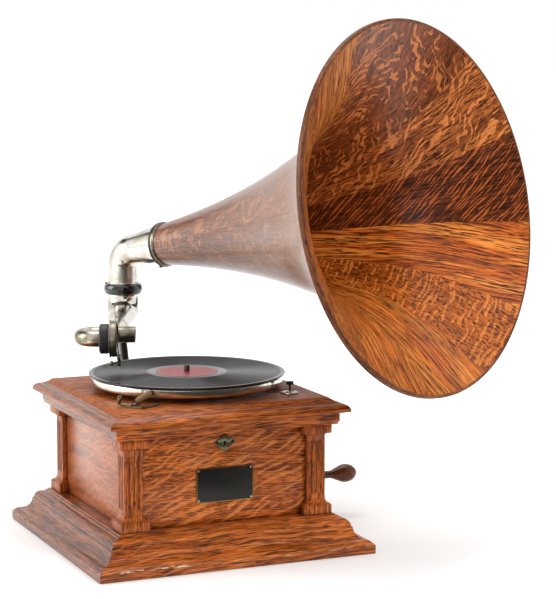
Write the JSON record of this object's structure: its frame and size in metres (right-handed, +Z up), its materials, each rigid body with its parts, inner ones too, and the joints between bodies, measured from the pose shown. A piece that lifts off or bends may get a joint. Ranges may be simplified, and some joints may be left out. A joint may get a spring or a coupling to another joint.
{
  "type": "horn gramophone",
  "caption": "Table gramophone with a square moulded oak case, turntable, spring motor, winding crank, gooseneck tone arm and a flared wooden horn on a rear bracket.",
  "frame": {"origin": "centre of the square underside of the case, on the table it stands on", "axes": "+X towards the winding crank, +Y to the back where the bracket carries arm and horn, +Z up"},
  "size_m": [0.6154, 0.606, 0.6603],
  "materials": {
    "oak": "semi-gloss shellac over quartersawn oak",
    "nickel": "warm polished nickel plate",
    "steel": "plain steel",
    "brass": "dulled brass",
    "bronze": "aged bronze plate",
    "gunmetal": "oxidised nickel over brass",
    "black_enamel": "gloss black stoving enamel",
    "motor_iron": "painted iron plate",
    "fibre": "vulcanised fibre",
    "rubber": "black rubber",
    "felt": "wool felt",
    "leather": "brown leather",
    "shellac": "pressed shellac compound with fine grooves",
    "label_paper": "red printed paper, plain",
    "mica": "clear mica sheet",
    "turned_wood": "turned and polished beech"
  },
  "bodies": {
    "cabinet": {"plinth_mouldings": "oak", "bottom_board": "oak", "corner_posts": "oak", "front_panel": "oak", "back_panel": "oak", "left_panel": "oak", "right_panel": "oak", "lid_mouldings": "oak", "motor_board": "oak", "lid_hinges": "bronze", "name_plate": "black_enamel", "lock_plate": "bronze", "lock_case": "bronze", "lock_strike": "bronze", "small_screws": "brass", "speed_flange": "nickel", "brake_plate": "bronze", "motor_top_plate": "motor_iron", "motor_low_plate": "motor_iron", "motor_pillars": "steel", "motor_bolts": "steel", "governor_brackets": "motor_iron", "crank_bush": "nickel", "bracket": "black_enamel", "bracket_screws": "black_enamel"},
    "lock_bolt": {"lock_bolt": "steel"},
    "speed_screw": {"speed_screw": "nickel"},
    "friction_lever": {"friction_lever": "brass", "friction_pad": "leather"},
    "brake": {"brake_lever": "bronze", "brake_shoe": "leather"},
    "turntable": {"platter": "nickel", "platter_felt": "felt", "record": "shellac", "record_label": "label_paper", "spindle": "steel", "spindle_wheel": "fibre"},
    "spring_barrel": {"spring_barrel": "brass", "mainspring": "steel"},
    "barrel_arbor": {"barrel_arbor": "steel", "winding_wheel": "brass"},
    "intermediate_wheel": {"intermediate_wheel": "steel"},
    "governor": {"governor_shaft": "steel", "governor_weights": "brass", "governor_disc": "steel"},
    "crank": {"crank_shaft": "steel", "crank_arm": "steel"},
    "crank_knob": {"crank_knob": "turned_wood"},
    "tone_arm": {"tone_arm": "nickel"},
    "sound_head": {"gooseneck": "nickel", "rubber_flange": "rubber", "sound_box": "gunmetal", "diaphragm": "mica"},
    "stylus": {"stylus_bar": "gunmetal", "needle": "steel"},
    "needle_screw": {"needle_screw": "steel"},
    "horn": {"elbow": "nickel", "horn_collar": "nickel", "horn_staves": "oak", "horn_rim": "oak"}
  },
  "joints": [
    {"name": "turntable_spin", "type": "hinge", "parent": "cabinet", "child": "turntable", "pos_m": [0, 0, 0.2], "axis": [0, 0, 1], "continuous": true},
    {"name": "intermediate_spin", "type": "hinge", "parent": "cabinet", "child": "intermediate_wheel", "pos_m": [0.01575, 0.03937, 0.158], "axis": [0, 0, 1], "continuous": true},
    {"name": "barrel_spin", "type": "hinge", "parent": "cabinet", "child": "spring_barrel", "pos_m": [0.062, 0.04304, 0.14], "axis": [0, 0, 1], "continuous": true},
    {"name": "governor_spin", "type": "hinge", "parent": "cabinet", "child": "governor", "pos_m": [0, -0.02912, 0.1365], "axis": [1, 0, 0], "continuous": true},
    {"name": "crank_turn", "type": "hinge", "parent": "cabinet", "child": "crank", "pos_m": [0.12, 0.02, 0.118], "axis": [1, 0, 0], "continuous": true},
    {"name": "arbor_spin", "type": "hinge", "parent": "cabinet", "child": "barrel_arbor", "pos_m": [0.062, 0.04304, 0.118], "axis": [0, 0, 1], "continuous": true},
    {"name": "knob_spin", "type": "hinge", "parent": "crank", "child": "crank_knob", "pos_m": [0.225, 0.02998, 0.05498], "axis": [1, 0, 0], "continuous": true},
    {"name": "speed_turn", "type": "hinge", "parent": "cabinet", "child": "speed_screw", "pos_m": [0.104, -0.089, 0.193], "axis": [0, 0, 1], "range_deg": [0, 180]},
    {"name": "friction_rock", "type": "hinge", "parent": "cabinet", "child": "friction_lever", "pos_m": [0.086, -0.058, 0.1585], "axis": [0, 1, 0], "range_deg": [-1, 0.2]},
    {"name": "brake_swing", "type": "hinge", "parent": "cabinet", "child": "brake", "pos_m": [-0.112, -0.103, 0.196], "axis": [0, 0, 1], "range_deg": [-15, 0]},
    {"name": "lock_slide", "type": "slide", "parent": "cabinet", "child": "lock_bolt", "axis": [0, 0, 1], "range_m": [-0.006, 0]},
    {"name": "tone_arm_swing", "type": "hinge", "parent": "cabinet", "child": "tone_arm", "pos_m": [0, 0.2416, 0.285], "axis": [0, 0, 1], "range_deg": [-18, 40]},
    {"name": "gooseneck_flip", "type": "hinge", "parent": "tone_arm", "child": "sound_head", "pos_m": [-0.06615, 0.085, 0.2535], "axis": [-0.9212, 0.3891, 0], "range_deg": [0, 90]},
    {"name": "stylus_rock", "type": "hinge", "parent": "sound_head", "child": "stylus", "pos_m": [-0.07507, 0.04589, 0.2304], "axis": [-0.3891, -0.9212, 0], "range_deg": [-0.5, 0.5], "stiffness_Nm_per_rad": 0.6},
    {"name": "needle_screw_turn", "type": "hinge", "parent": "stylus", "child": "needle_screw", "pos_m": [-0.07703, 0.04125, 0.22294], "axis": [-0.9212, 0.3891, 0], "range_deg": [0, 360]},
    {"name": "horn_swivel", "type": "hinge", "parent": "cabinet", "child": "horn", "pos_m": [0, 0.2416, 0.3], "axis": [0, 0, 1], "continuous": true}
  ],
  "couplings": [
    {"joint": "intermediate_spin", "follows": "turntable_spin", "ratio": -0.17778},
    {"joint": "barrel_spin", "follows": "turntable_spin", "ratio": 0.028444},
    {"joint": "governor_spin", "follows": "turntable_spin", "ratio": 20},
    {"joint": "arbor_spin", "follows": "crank_turn", "ratio": 0.16667},
    {"joint": "friction_rock", "follows": "speed_turn", "ratio": -0.0055556}
  ]
}
